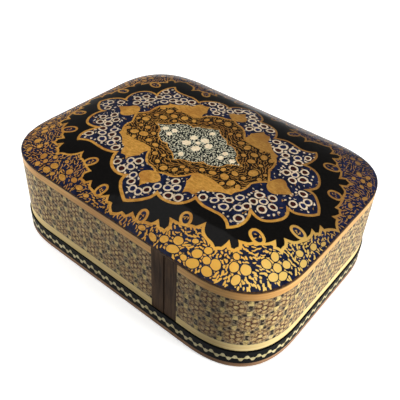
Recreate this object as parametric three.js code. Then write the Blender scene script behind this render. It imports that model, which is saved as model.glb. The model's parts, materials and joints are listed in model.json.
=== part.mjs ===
// A small marquetry box for one pack of playing cards, all sizes in millimetres, +Z up.
// The case is a domed, painted top and a base, joined by a wall that wraps the left end and most of
// both long sides. The right end belongs to a drawer, whose tray nests inside the case's wall, so it
// slides out along +X between the top and the base. Hardwood bars edge both walls at the seam.
// The origin is the centre of the underside.
import * as THREE from "three";

// Plan of the box. The seam lies where the drawer's corners have run on straight for a while.
const boxLength = 115;
const boxWidth = 85.3;
const cornerReach = 26.5;
const cornerPower = 2.65;
const drawerStraight = 7.9;

// Base, from the table up. It stands a little proud of the wall.
const bottomPlateThickness = 2;
const bottomEdgeRound = 1;
const baseBoardThickness = 5.4;
const baseProud = 0.45;

// Wall: stringing, marquetry and stringing again, glued on a wooden core.
const wallHeight = 26.4;
const veneerThickness = 1;
const coreThickness = 3;
const lowerStringingHeight = 3.3;
const topStringingHeight = 2.9;

// Bars that edge the wall at the seam.
const edgeBarWidth = 5;
const edgeBarArris = 0.2;

// Marquetry band round the base, with a zigzag of bone in it. Its strokes that rise to the right
// are thicker than those that fall, because the upper edge leans back against the lower one.
const bandThickness = 1;
const zigzagPitch = 3.8;
const zigzagHeight = 2.2;
const zigzagRibbon = 1.5;
const zigzagLift = 2.7;
const zigzagLean = 0.3;

// Domed top: a thin rim on the wall, from which it rises steeply at first and then levels out.
const topRimThickness = 0.6;
const topRimRound = 0.5;
const topRimTurn = 65;
const domeRise = 5.9;
const domePower = 4.2;

// Tray inside.
const trayFloorThickness = 2;
const trayWallThickness = 2.5;
const trayLiningThickness = 0.6;

// Clearances: at the seam, round what slides, and in what is glued.
const seamGap = 0.3;
const slideGap = 0.3;
const glueGap = 0.1;

// How finely corners, rounded edges and the dome are drawn.
const cornerSteps = 16;
const roundSteps = 4;
const domeSteps = 16;

// Heights that follow from the layers.
const halfLength = boxLength / 2;
const halfWidth = boxWidth / 2;
const baseBoardBottom = bottomPlateThickness;
const wallBottom = baseBoardBottom + baseBoardThickness;
const wallTop = wallBottom + wallHeight;
const domeFoot = wallTop + topRimThickness;
const drawerBottom = wallBottom + slideGap;
const drawerTop = wallTop - slideGap;
const trayFloorTop = drawerBottom + trayFloorThickness;

// Faces at the seam, and insets from the box's outline.
const seamX = halfLength - cornerReach - drawerStraight;
const caseSeamFace = seamX - seamGap / 2;
const drawerSeamFace = seamX + seamGap / 2;
const caseInnerInset = veneerThickness + coreThickness;
const trayOuterInset = caseInnerInset + slideGap;
const trayInnerInset = trayOuterInset + trayWallThickness;

// Colours of the materials that the box is made of.
function finish(color, roughness, metalness = 0) {
  return new THREE.MeshStandardMaterial({ color, roughness, metalness });
}
const walnut = finish(0x5b4032, 0.45);
const plainWood = finish(0xa87b4f, 0.6);
const darkBar = finish(0x33261f, 0.4);
const tanStringing = finish(0xc9985c, 0.35);
const creamStringing = finish(0xe6d3a3, 0.35);
const khatam = finish(0x9c8665, 0.35);
const ebony = finish(0x1d2024, 0.35);
const bone = finish(0xd8cda0, 0.4);
const lacquer = finish(0x0d0c0b, 0.08);
const velvet = finish(0x5a1420, 0.95);

const box = new THREE.Group();
function add(name, geometry, material) {
  const mesh = new THREE.Mesh(geometry, material);
  mesh.name = name;
  box.add(mesh);
}

// A corner of the box is a quarter of a squarish oval: a superellipse, with a power just over 2.
// At a turn of 0 it gives the middle of the end, and at a quarter turn the middle of the side.
function cornerPoint(inset, turn) {
  const reach = cornerReach - inset;
  return [
    halfLength - cornerReach + reach * Math.cos(turn) ** (2 / cornerPower),
    halfWidth - cornerReach + reach * Math.sin(turn) ** (2 / cornerPower),
  ];
}

// Points on the box's outline, moved inwards by inset, round one end of the box: from the front
// at x = fromX, round both corners of the end on that side (+1 right, -1 left), to the back.
function endOutline(inset, fromX, side) {
  const corner = [];
  for (let i = 0; i <= cornerSteps; i++) {
    corner.push(cornerPoint(inset, (Math.PI / 2) * (i / cornerSteps)));
  }
  const sideY = halfWidth - inset;
  return [
    new THREE.Vector2(fromX, -sideY),
    ...corner.map(([x, y]) => new THREE.Vector2(side * x, -y)).reverse(),
    ...corner.map(([x, y]) => new THREE.Vector2(side * x, y)),
    new THREE.Vector2(fromX, sideY),
  ];
}

// The whole outline, moved inwards by inset, as a closed list of points.
function outline(inset) {
  const right = endOutline(inset, 0, 1).slice(1, -1);
  const left = endOutline(inset, 0, -1).slice(1, -1).reverse();
  return [...right, ...left];
}

function extrude(shape, bottom, height) {
  const geometry = new THREE.ExtrudeGeometry(shape, { depth: height, bevelEnabled: false });
  return geometry.translate(0, 0, bottom);
}

// A wall that wraps one end of the box between two insets and stops square at x = fromX.
function endWall(outerInset, innerInset, fromX, side, bottom, height) {
  const outer = endOutline(outerInset, fromX, side);
  const inner = endOutline(innerInset, fromX, side).reverse();
  return extrude(new THREE.Shape([...outer, ...inner]), bottom, height);
}

// A plate drawn as rings with flat ends. Each level gives the ring's height, how far its outline
// lies inside the box's, and how much the whole outline is scaled down, if it is.
function plate(levels) {
  const rings = levels.map(({ inset, z, scale = 1 }) => (
    outline(inset).map((p) => [p.x * scale, p.y * scale, z])
  ));
  const size = rings[0].length;
  const positions = rings.flat(2);
  const bottomCentre = rings.length * size;
  const topCentre = bottomCentre + 1;
  const topRing = bottomCentre - size;
  positions.push(0, 0, levels[0].z, 0, 0, levels[levels.length - 1].z);
  const faces = [];
  for (let i = 0; i < size; i++) {
    const next = (i + 1) % size;
    faces.push(bottomCentre, next, i);
    faces.push(topCentre, topRing + i, topRing + next);
    for (let level = 0; level + 1 < rings.length; level++) {
      const low = level * size;
      const high = low + size;
      faces.push(low + i, low + next, high + next);
      faces.push(low + i, high + next, high + i);
    }
  }
  const geometry = new THREE.BufferGeometry();
  geometry.setAttribute("position", new THREE.Float32BufferAttribute(positions, 3));
  geometry.setIndex(faces);
  return geometry;
}

// Levels of a rounded edge of the given radius, which starts upright on the outline at startZ and
// turns inwards by the given number of degrees. It goes up from there, or down for a direction of -1.
function edgeRound(radius, turn, startZ, direction, proud = 0) {
  const levels = [];
  for (let i = 0; i <= roundSteps; i++) {
    const angle = THREE.MathUtils.degToRad((turn * i) / roundSteps);
    levels.push({
      inset: radius * (1 - Math.cos(angle)) - proud,
      z: startZ + direction * radius * Math.sin(angle),
    });
  }
  return levels;
}

// Base: a bottom plate with a rounded lower edge, a board, and the band round the board.
function addBase() {
  add("bottom_plate", plate([
    ...edgeRound(bottomEdgeRound, 90, bottomEdgeRound, -1, baseProud).reverse(),
    { inset: -baseProud, z: bottomPlateThickness },
  ]), walnut);
  const boardInset = bandThickness + glueGap - baseProud;
  add("base_board", plate([
    { inset: boardInset, z: baseBoardBottom },
    { inset: boardInset, z: wallBottom },
  ]), plainWood);
}

// The way round the base, cut into equal half strokes of the zigzag.
const basePath = new THREE.Path(outline(-baseProud));
basePath.closePath();
const bandPoints = 2 * Math.round(basePath.getLength() / zigzagPitch);

// A point on the base's outline after a number of half strokes, and the way inwards there.
function aroundBase(strokes) {
  const pointAt = (count) => basePath.getPoint((count / bandPoints + 1) % 1);
  const along = pointAt(strokes + 0.5).sub(pointAt(strokes - 0.5)).normalize();
  return { outer: pointAt(strokes), inwards: new THREE.Vector2(-along.y, along.x) };
}

// A ring round the base whose lower and upper edges may zigzag. Each edge has a height, a swing to
// both sides of that height, and a shift along the way round.
function bandRing(lower, upper) {
  const positions = [];
  const faces = [];
  const edgePoints = (edge, stroke) => {
    const shift = edge.shift / (zigzagPitch / 2);
    const { outer, inwards } = aroundBase(stroke + shift);
    const inner = outer.clone().addScaledVector(inwards, bandThickness);
    const z = edge.z + (stroke % 2 === 0 ? edge.swing : -edge.swing) / 2;
    return [[outer.x, outer.y, z], [inner.x, inner.y, z]];
  };
  for (let stroke = 0; stroke < bandPoints; stroke++) {
    const [outLowPoint, inLowPoint] = edgePoints(lower, stroke);
    const [outHighPoint, inHighPoint] = edgePoints(upper, stroke);
    positions.push(...outLowPoint, ...outHighPoint, ...inLowPoint, ...inHighPoint);
    const [outLow, outHigh, inLow, inHigh] = [0, 1, 2, 3].map((k) => 4 * stroke + k);
    const step = (v) => (v + 4) % (4 * bandPoints);
    faces.push(outLow, step(outLow), step(outHigh), outLow, step(outHigh), outHigh);
    faces.push(outHigh, step(outHigh), step(inHigh), outHigh, step(inHigh), inHigh);
    faces.push(inHigh, step(inHigh), step(inLow), inHigh, step(inLow), inLow);
    faces.push(outLow, inLow, step(inLow), outLow, step(inLow), step(outLow));
  }
  const geometry = new THREE.BufferGeometry();
  geometry.setAttribute("position", new THREE.Float32BufferAttribute(positions, 3));
  geometry.setIndex(faces);
  return geometry;
}

// The band is three rings that lock into each other along the zigzag.
function addBand() {
  const middle = baseBoardBottom + zigzagLift;
  const bottom = { z: baseBoardBottom, swing: 0, shift: 0 };
  const ribbonLow = { z: middle - zigzagRibbon / 2, swing: zigzagHeight, shift: zigzagLean / 2 };
  const ribbonHigh = { z: middle + zigzagRibbon / 2, swing: zigzagHeight, shift: -zigzagLean / 2 };
  const top = { z: wallBottom, swing: 0, shift: 0 };
  add("base_band_lower", bandRing(bottom, ribbonLow), ebony);
  add("base_zigzag_inlay", bandRing(ribbonLow, ribbonHigh), bone);
  add("base_band_upper", bandRing(ribbonHigh, top), ebony);
}

// A bar that edges a wall at the seam: its outer corner at the seam is broken by a small arris.
function edgeBar(seamFace, side, front, innerInset, bottom, height) {
  const innerY = halfWidth - innerInset;
  const farFace = seamFace + side * edgeBarWidth;
  const section = [
    [farFace, halfWidth],
    [seamFace + side * edgeBarArris, halfWidth],
    [seamFace, halfWidth - edgeBarArris],
    [seamFace, innerY],
    [farFace, innerY],
  ].map(([x, y]) => new THREE.Vector2(x, front ? -y : y));
  return extrude(new THREE.Shape(section), bottom, height);
}

// The wall of the case or of the drawer: core, marquetry, both stringings and two edge bars.
function addWall(prefix, seamFace, side, innerInset, bottom, top) {
  const marquetryBottom = wallBottom + lowerStringingHeight;
  const marquetryTop = wallTop - topStringingHeight;
  const wallFrom = seamFace + side * edgeBarWidth;
  const skin = (low, high) => endWall(0, veneerThickness, wallFrom, side, low, high - low);
  const bar = (front) => edgeBar(seamFace, side, front, innerInset, bottom, top - bottom);
  add(`${prefix}_wall_core`,
    endWall(veneerThickness, innerInset, wallFrom, side, bottom, top - bottom), plainWood);
  add(`${prefix}_lower_stringing`, skin(bottom, marquetryBottom), creamStringing);
  add(`${prefix}_khatam_veneer`, skin(marquetryBottom, marquetryTop), khatam);
  add(`${prefix}_top_stringing`, skin(marquetryTop, top), tanStringing);
  add(`${prefix}_edge_bar_front`, bar(true), darkBar);
  add(`${prefix}_edge_bar_back`, bar(false), darkBar);
}

// Top: a board with a flat underside, which rests on the case's wall. Its upper face is a dome,
// drawn as the rim's outline scaled down step by step, with steps closest at the steep rim.
function addTop() {
  const rim = edgeRound(topRimRound, topRimTurn, domeFoot - topRimRound, 1);
  const { inset, z: rimZ } = rim[rim.length - 1];
  const dome = [];
  for (let i = 1; i < domeSteps; i++) {
    const scale = 1 - (i / domeSteps) ** 1.4;
    dome.push({ inset, scale, z: rimZ + domeRise * (1 - scale ** domePower) });
  }
  add("domed_top", plate([{ inset: 0, z: wallTop }, ...rim, ...dome]), lacquer);
}

// Tray: its wall nests inside the case's wall and butts against the drawer's two bars. A lined
// floor fills the inside of the tray's wall and of the drawer's front alike.
function addTray() {
  add("tray_wall", endWall(
    trayOuterInset, trayInnerInset, drawerSeamFace, -1, drawerBottom, drawerTop - drawerBottom,
  ), walnut);
  add("tray_floor", plate([
    { inset: trayInnerInset, z: drawerBottom },
    { inset: trayInnerInset, z: trayFloorTop },
  ]), walnut);
  add("tray_lining", plate([
    { inset: trayInnerInset + glueGap, z: trayFloorTop },
    { inset: trayInnerInset + glueGap, z: trayFloorTop + trayLiningThickness },
  ]), velvet);
}

addBase();
addBand();
addWall("case", caseSeamFace, -1, caseInnerInset, wallBottom, wallTop);
addWall("drawer", drawerSeamFace, 1, trayInnerInset, drawerBottom, drawerTop);
addTop();
addTray();

export default box;
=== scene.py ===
"""Looks of a small marquetry box for playing cards with a domed, painted and lacquered top.

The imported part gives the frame. The painted top, the layers on the walls, the band round the base,
the plate under it and the tray's lining are built here as their own pieces. All others keep their
solids and get materials. The box's lengths are millimetres until a mesh is made, those of the
lights are metres.
"""
import functools
import json
import math

import bpy
import numpy as np
from mathutils import Matrix, Vector
from mathutils.geometry import delaunay_2d_cdt

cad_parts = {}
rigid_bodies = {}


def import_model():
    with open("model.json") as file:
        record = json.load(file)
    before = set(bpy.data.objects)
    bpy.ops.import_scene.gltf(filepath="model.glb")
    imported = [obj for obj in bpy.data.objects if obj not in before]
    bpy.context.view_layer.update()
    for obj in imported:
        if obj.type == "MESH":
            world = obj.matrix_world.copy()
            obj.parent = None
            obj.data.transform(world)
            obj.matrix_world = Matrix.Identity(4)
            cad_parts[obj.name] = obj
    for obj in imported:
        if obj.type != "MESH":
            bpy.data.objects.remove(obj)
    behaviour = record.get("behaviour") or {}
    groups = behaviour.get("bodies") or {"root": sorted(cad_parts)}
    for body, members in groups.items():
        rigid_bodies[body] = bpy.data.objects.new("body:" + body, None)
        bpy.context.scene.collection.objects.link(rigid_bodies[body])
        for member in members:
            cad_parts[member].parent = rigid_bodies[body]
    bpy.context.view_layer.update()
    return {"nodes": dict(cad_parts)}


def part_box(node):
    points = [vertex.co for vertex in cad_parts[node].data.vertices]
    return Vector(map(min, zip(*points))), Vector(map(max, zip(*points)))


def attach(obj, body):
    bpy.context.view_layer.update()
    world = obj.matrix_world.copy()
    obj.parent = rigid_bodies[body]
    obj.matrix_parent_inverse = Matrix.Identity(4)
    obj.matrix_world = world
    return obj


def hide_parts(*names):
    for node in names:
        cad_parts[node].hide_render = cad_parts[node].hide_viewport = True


for leftover in list(bpy.data.objects):
    bpy.data.objects.remove(leftover)
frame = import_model()

MM = 0.001
rng = np.random.default_rng(5)


def node_box(node):
    """Lowest and highest corner of a CAD node in millimetres."""
    low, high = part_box(node)
    return np.array(low) / MM, np.array(high) / MM


def add_object(name, data):
    made = bpy.data.objects.new(name, data)
    bpy.context.scene.collection.objects.link(made)
    return made


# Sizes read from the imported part, and the form of its corners.
HALF_LENGTH, HALF_WIDTH, TOP_HEIGHT = node_box("domed_top")[1]
CORNER_REACH = 26.5
CORNER_POWER = 2.65
core_low, core_high = node_box("case_wall_core")
veneer_low, veneer_high = node_box("case_khatam_veneer")
VENEER = veneer_high[1] - core_high[1]
CASE_WALL_END = veneer_high[0]
DRAWER_WALL_END = node_box("drawer_khatam_veneer")[0][0]
WALL_BOTTOM, WALL_TOP = core_low[2], core_high[2]
DRAWER_BOTTOM, DRAWER_TOP = (corner[2] for corner in node_box("drawer_wall_core"))
MOSAIC_BOTTOM, MOSAIC_TOP = veneer_low[2], veneer_high[2]
BASE_REACH, _, PLATE_TOP = node_box("bottom_plate")[1]
BASE_PROUD = BASE_REACH - HALF_LENGTH
BAND_BOTTOM = node_box("base_band_lower")[0][2]


# Camera, solved from the outline of the box in the photograph. The first three are in pixels.
PICTURE = 400
FOCAL_LENGTH = 564.25
PICTURE_CENTRE = (202.51, 173.21)
SENSOR = 36
# Azimuth, elevation and roll in degrees, and the camera's place along its own right, up and back.
CAMERA_TURNS = (37.305, 37.992, -3.251)
CAMERA_PLACE = (0.0619, 0.3720, 3.8550)
FIT_UNIT = 57.5 * MM


def place_camera():
    azimuth, elevation, roll = map(math.radians, CAMERA_TURNS)
    back = Vector((
        math.sin(azimuth) * math.cos(elevation),
        -math.cos(azimuth) * math.cos(elevation),
        math.sin(elevation),
    ))
    right = Vector((math.cos(azimuth), math.sin(azimuth), 0))
    up = back.cross(right)
    turned_right = math.cos(roll) * right - math.sin(roll) * up
    turned_up = math.sin(roll) * right + math.cos(roll) * up
    camera = add_object("camera", bpy.data.cameras.new("camera"))
    turn = Matrix((turned_right, turned_up, back)).transposed()
    place = turn @ Vector(CAMERA_PLACE) * FIT_UNIT
    camera.matrix_world = Matrix.Translation(place) @ turn.to_4x4()
    camera.data.sensor_width = SENSOR
    camera.data.lens = SENSOR * FOCAL_LENGTH / PICTURE
    camera.data.shift_x = (PICTURE / 2 - PICTURE_CENTRE[0]) / PICTURE
    camera.data.shift_y = (PICTURE_CENTRE[1] - PICTURE / 2) / PICTURE
    camera.data.clip_start = 0.01
    bpy.context.scene.camera = camera


place_camera()


def operator(kind, turned=False):
    """A sign of arithmetic as a math node. turned is for a plain number on the sign's left."""
    def method(self, other):
        first, second = (other, self) if turned else (self, other)
        return self.graph.math(kind, first, second)
    return method


class Value:
    """A number that a node works out, with the signs of arithmetic."""

    def __init__(self, graph, socket):
        self.graph = graph
        self.socket = socket

    __add__ = operator("ADD")
    __sub__ = operator("SUBTRACT")
    __rsub__ = operator("SUBTRACT", turned=True)
    __mul__ = operator("MULTIPLY")
    __truediv__ = operator("DIVIDE")


def rgb(red, green, blue):
    """A colour as it is seen, 0 to 255, turned into the linear colour that a shader takes."""
    def linear(value):
        value /= 255
        return value / 12.92 if value <= 0.04045 else ((value + 0.055) / 1.055) ** 2.4

    return (linear(red), linear(green), linear(blue), 1.0)


# The colours among the sockets of a Mix node, by number.
MIX_FIRST, MIX_SECOND, MIX_RESULT = 6, 7, 2
# Length of wall in one unit of the map that lays it out flat.
STRIP_UNIT = 100.0


class Graph:
    """The nodes of a material or of the world."""

    def __init__(self, owner, shader="Principled BSDF"):
        owner.use_nodes = True
        self.owner = owner
        self.tree = owner.node_tree
        self.shader = self.tree.nodes[shader]

    def feed(self, socket, value):
        """Links a value into a socket, or sets the socket if the value is a plain one."""
        source = getattr(value, "socket", value)
        if isinstance(source, bpy.types.NodeSocket):
            self.tree.links.new(source, socket)
        else:
            socket.default_value = source

    def node(self, kind, inputs=None, **settings):
        """A new node. inputs gives values to its sockets, by name or number."""
        made = self.tree.nodes.new(kind)
        for key, value in settings.items():
            setattr(made, key, value)
        for key, value in (inputs or {}).items():
            self.feed(made.inputs[key], value)
        return made

    def math(self, operation, *values):
        made = self.node("ShaderNodeMath", dict(enumerate(values)), operation=operation)
        return Value(self, made.outputs[0])

    def least(self, a, b):
        return self.math("MINIMUM", a, b)

    def most(self, *values):
        return functools.reduce(lambda a, b: self.math("MAXIMUM", a, b), values)

    def size(self, a):
        return self.math("ABSOLUTE", a)

    def length(self, a, b):
        return self.math("SQRT", a * a + b * b)

    def rise(self, value, start, end):
        """0 below start, 1 above end, and a smooth step between them. start may be above end."""
        falls = float(start > end)
        made = self.node("ShaderNodeMapRange", {
            "Value": value, "From Min": min(start, end), "From Max": max(start, end),
            "To Min": falls, "To Max": 1.0 - falls}, interpolation_type="SMOOTHSTEP")
        return Value(self, made.outputs["Result"])

    def spread(self, value, low, high):
        """A value from 0 to 1 spread over another range."""
        return value * (high - low) + low

    def vector(self, operation, inputs):
        return self.node("ShaderNodeVectorMath", inputs, operation=operation).outputs["Vector"]

    def place(self):
        """Where the point is in the object, in millimetres."""
        made = self.node("ShaderNodeTexCoord")
        return self.vector("SCALE", {0: made.outputs["Object"], "Scale": 1 / MM})

    def strip(self):
        """Where the point is along and up the wall that it belongs to, in millimetres."""
        made = self.node("ShaderNodeUVMap", uv_map="Strip")
        return self.vector("SCALE", {0: made.outputs["UV"], "Scale": STRIP_UNIT})

    def stretch(self, vector, x, y, z):
        return self.vector("MULTIPLY", {0: vector, 1: (x, y, z)})

    def split(self, vector):
        made = self.node("ShaderNodeSeparateXYZ", {0: vector})
        return [Value(self, out) for out in made.outputs]

    def join(self, x, y):
        return self.node("ShaderNodeCombineXYZ", {0: x, 1: y}).outputs[0]

    def noise(self, vector, scale=1.0, detail=2.0, roughness=0.5, distortion=0.0):
        made = self.node("ShaderNodeTexNoise", {
            "Vector": vector, "Scale": scale, "Detail": detail, "Roughness": roughness,
            "Distortion": distortion})
        return Value(self, made.outputs["Fac"])

    def cells(self, vector, scale, feature="F1"):
        """Cells round scattered points."""
        inputs = {"Vector": vector, "Scale": scale}
        return self.node("ShaderNodeTexVoronoi", inputs, feature=feature).outputs

    def joints(self, vector, scale):
        """Distance to the edge between cells."""
        return Value(self, self.cells(vector, scale, "DISTANCE_TO_EDGE")["Distance"])

    def cell_tone(self, vector, scale=1.0):
        """A number from 0 to 1 that is the same all over one cell."""
        return self.split(self.cells(vector, scale)["Color"])[0]

    def ray(self, kind):
        """1 for one kind of light ray and 0 for the others."""
        return Value(self, self.node("ShaderNodeLightPath").outputs[kind])

    def mix(self, share, first, second):
        """A colour between two, each a socket, a linear list, or a tuple as rgb takes it."""
        first, second = (rgb(*c) if isinstance(c, tuple) else c for c in (first, second))
        made = self.node("ShaderNodeMix", {
            "Factor": share, MIX_FIRST: first, MIX_SECOND: second}, data_type="RGBA")
        return made.outputs[MIX_RESULT]

    def layered(self, color, *layers):
        """A colour with others over it, each given as its share and its colour."""
        for share, other in layers:
            color = self.mix(share, color, other)
        return color

    def finish(self, color, roughness=0.4, bump=None, depth=0.05, **sockets):
        """Sets the shader. bump is a height in millimetres, on its own scale of depth."""
        self.feed(self.shader.inputs["Base Color"], color)
        self.feed(self.shader.inputs["Roughness"], roughness)
        for key, value in sockets.items():
            self.feed(self.shader.inputs[key.replace("_", " ")], value)
        if bump is not None:
            made = self.node("ShaderNodeBump", {"Distance": depth * MM, "Height": bump})
            for socket in ("Normal", "Coat Normal"):
                self.feed(self.shader.inputs[socket], made.outputs["Normal"])
        return self.owner


def new_material(name):
    return Graph(bpy.data.materials.new(name))


# Outline of the box: straight sides joined by corners that are quarters of a superellipse.
def corner_curve(inset, turns):
    reach = CORNER_REACH - inset
    x = HALF_LENGTH - CORNER_REACH + reach * np.clip(np.cos(turns), 0, 1) ** (2 / CORNER_POWER)
    y = HALF_WIDTH - CORNER_REACH + reach * np.clip(np.sin(turns), 0, 1) ** (2 / CORNER_POWER)
    return np.stack([x, y], 1)


def run_along(points):
    """Length from the first point to each point of a line."""
    return np.concatenate([[0], np.cumsum(np.linalg.norm(np.diff(points, axis=0), axis=1))])


def closed(points):
    return np.vstack([points, points[:1]])


def unit(vectors):
    return vectors / np.linalg.norm(vectors, axis=1, keepdims=True)


def left_of(vectors):
    return np.stack([-vectors[:, 1], vectors[:, 0]], 1)


def even_turns(steps):
    """Turns at which the points of a corner lie at equal distances."""
    fine = np.linspace(0, math.pi / 2, 600)
    run = run_along(corner_curve(0, fine))
    return np.interp(np.linspace(0, run[-1], steps + 1), run, fine)


TURNS = even_turns(26)


def end_path(inset, from_x, side):
    """Points round one end of the box, from the front at from_x to the back."""
    corner = corner_curve(inset, TURNS)
    front = np.stack([side * corner[::-1, 0], -corner[::-1, 1]], 1)
    back = np.stack([side * corner[:, 0], corner[:, 1]], 1)
    depth = HALF_WIDTH - inset
    return np.vstack([[[from_x, -depth]], front, back, [[from_x, depth]]])


def whole_path(inset):
    """Points round the whole box, anticlockwise from above, without the first one again."""
    right = end_path(inset, 0, 1)[1:-1]
    left = end_path(inset, 0, -1)[1:-1][::-1]
    return np.vstack([right, left])


def add_piece(name, mesh, body, slot, node):
    """An object that rides on a body and stands for a CAD node."""
    piece = add_object(name, mesh)
    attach(piece, body)
    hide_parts(node)
    return piece


def make_mesh(name, points, faces, materials):
    """A mesh from points in millimetres."""
    mesh = bpy.data.meshes.new(name)
    mesh.from_pydata((np.asarray(points, float) * MM).tolist(), [], [list(f) for f in faces])
    for material in materials:
        mesh.materials.append(material)
    return mesh


def turn_outward(mesh):
    """Turns all faces of a closed mesh to look out of it."""
    volume = 0.0
    for face in mesh.polygons:
        ring = [mesh.vertices[v].co for v in face.vertices]
        volume += sum(ring[0].dot(b.cross(c)) for b, c in zip(ring[1:], ring[2:]))
    if volume < 0:
        mesh.flip_normals()


def make_piece(name, points, faces, strip, body, material, slot, node, flat_angle=35):
    """A closed piece, smooth but for edges sharper than flat_angle degrees. strip gives each face
    corner its place along and up the wall."""
    mesh = make_mesh(name, points, faces, [material])
    if strip is not None:
        layer = mesh.uv_layers.new(name="Strip")
        layer.data.foreach_set("uv", (np.asarray(strip, float) / STRIP_UNIT).ravel())
    mesh.validate()
    mesh.shade_smooth()
    mesh.set_sharp_from_angle(angle=math.radians(flat_angle))
    turn_outward(mesh)
    return add_piece(name, mesh, body, slot, node)


def shell(name, grid, run, sections, open_way, *labels):
    """A piece from a grid of points: stations along a path, each with the points of its section,
    whose (inset, height) are in sections. run is the way along the path to each station. Flat
    faces close the open way of the grid, the path or the section. The other way is a loop."""
    count, ring = grid.shape[:2]
    number = np.arange(count * ring).reshape(count, ring)
    heights = [section[0][1] + run_along(closed(section)) for section in sections]
    faces, strip = [], []
    for i in range(count - (open_way == "path")):
        j = (i + 1) % count
        for k in range(ring - (open_way == "section")):
            m = (k + 1) % ring
            faces.append((number[i, k], number[j, k], number[j, m], number[i, m]))
            strip += [(run[i], heights[i][k]), (run[i + 1], heights[j][k]),
                      (run[i + 1], heights[j][k + 1]), (run[i], heights[i][k + 1])]
    for last, turn in ((False, -1), (True, 1)):
        if open_way == "path":
            i = last * (count - 1)
            faces.append(number[i, ::turn])
            strip += [(run[i] + inset, height) for inset, height in sections[i][::turn]]
        if open_way == "section":
            k = last * (ring - 1)
            faces.append(number[::turn, k])
            strip += grid[::turn, k, :2].tolist()
    make_piece(name, grid.reshape(-1, 3), faces, strip, *labels)


def sweep(name, section, path_at, open_way, *labels):
    """Carries a section of (inset, height) points along a path."""
    grid = np.stack([np.insert(path_at(inset), 2, height, 1) for inset, height in section], 1)
    shell(name, grid, run_along(closed(path_at(0))), [section] * len(grid), open_way, *labels)


# Materials of the walls, the base and the inside.
def wood(name, dark, light, along, coat, scale=0.9, roughness=0.42, flat=False, depth=0.03):
    """Varnished wood. along says how fast the grain changes in each direction, flat that it
    follows the wall."""
    g = new_material(name)
    spot = g.strip() if flat else g.place()
    grain = g.noise(g.stretch(spot, *along), scale, 4.0, 0.62, 0.3)
    pores = g.noise(g.stretch(spot, *(4.0 * a for a in along)), scale, 2.0, 0.6)
    cloud = g.noise(g.stretch(spot, 0.05, 0.05, 0.05), 1.0, 2.0)
    color = g.layered(
        dark,
        (g.rise(grain * 0.75 + cloud * 0.45, 0.38, 0.82), light),
        (g.rise(pores, 0.62, 0.74) * 0.45, [c * 0.45 for c in rgb(*dark)[:3]] + [1]))
    return g.finish(
        color, roughness=g.spread(pores, roughness - 0.06, roughness + 0.1), bump=pores,
        depth=depth, Coat_Weight=coat, Coat_Roughness=0.14, Specular_IOR_Level=coat / 3,
    )


plain_wood = wood(
    "plain_wood", (128, 90, 58), (190, 145, 98), (0.09, 0.09, 1.3), 0.0, roughness=0.62)
walnut = wood("walnut", (84, 56, 40), (132, 96, 70), (0.08, 1.4, 1.4), 0.4)
bottom_wood = wood(
    "bottom_wood", (132, 98, 70), (186, 146, 110), (0.06, 0.9, 0.9), 0.1, flat=True)
dark_bar = wood(
    "dark_bar", (44, 32, 23), (98, 75, 56), (1.3, 1.3, 0.07), 0.06, scale=1.2,
    roughness=0.38)
tan_strip = wood(
    "tan_stringing", (198, 143, 79), (234, 186, 115), (0.05, 1.5, 1.5), 0.2, flat=True,
    depth=0.012)
cream_strip = wood(
    "cream_stringing", (224, 195, 130), (247, 223, 162), (0.05, 1.5, 1.5), 0.15, flat=True,
    depth=0.012)


def ebony_material():
    g = new_material("ebony")
    spot = g.strip()
    grain = g.noise(g.stretch(spot, 0.1, 2.2, 1.0), 1.0, 3.0, 0.6)
    worn = g.noise(g.stretch(spot, 0.5, 0.9, 1.0), 1.0, 3.0)
    color = g.layered(
        (6, 8, 10), (g.rise(grain, 0.35, 0.75), (22, 25, 27)),
        (g.rise(worn, 0.66, 0.8) * 0.35, (60, 60, 54)))
    return g.finish(
        color, roughness=g.spread(grain, 0.34, 0.5), bump=grain, depth=0.01,
        Coat_Weight=0.03, Coat_Roughness=0.14, Specular_IOR_Level=0.03)


def bone_material():
    g = new_material("bone")
    spot = g.strip()
    tone = g.cell_tone(g.stretch(spot, 0.54, 0.1, 1.0))
    streak = g.noise(g.stretch(spot, 1.0, 4.0, 1.0), 1.0, 3.0)
    color = g.layered(
        (198, 182, 124), (tone, (228, 216, 166)),
        (g.rise(streak, 0.5, 0.75) * 0.5, (150, 130, 78)))
    return g.finish(
        color, roughness=g.spread(streak, 0.34, 0.5), bump=streak, depth=0.01,
        Coat_Weight=0.3, Coat_Roughness=0.14, Specular_IOR_Level=0.2)


# Mosaic: rows of six-petalled flowers in a lattice like a honeycomb. Between two flowers of a row
# lies a dark rhomb with a pale shield above and below it, and black chips beside the shields' tips.
PITCH = 8.06
ROW_RISE = 6.65
MIDDLE_ROW = 20.8
DOT_EDGE = 0.13


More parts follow.
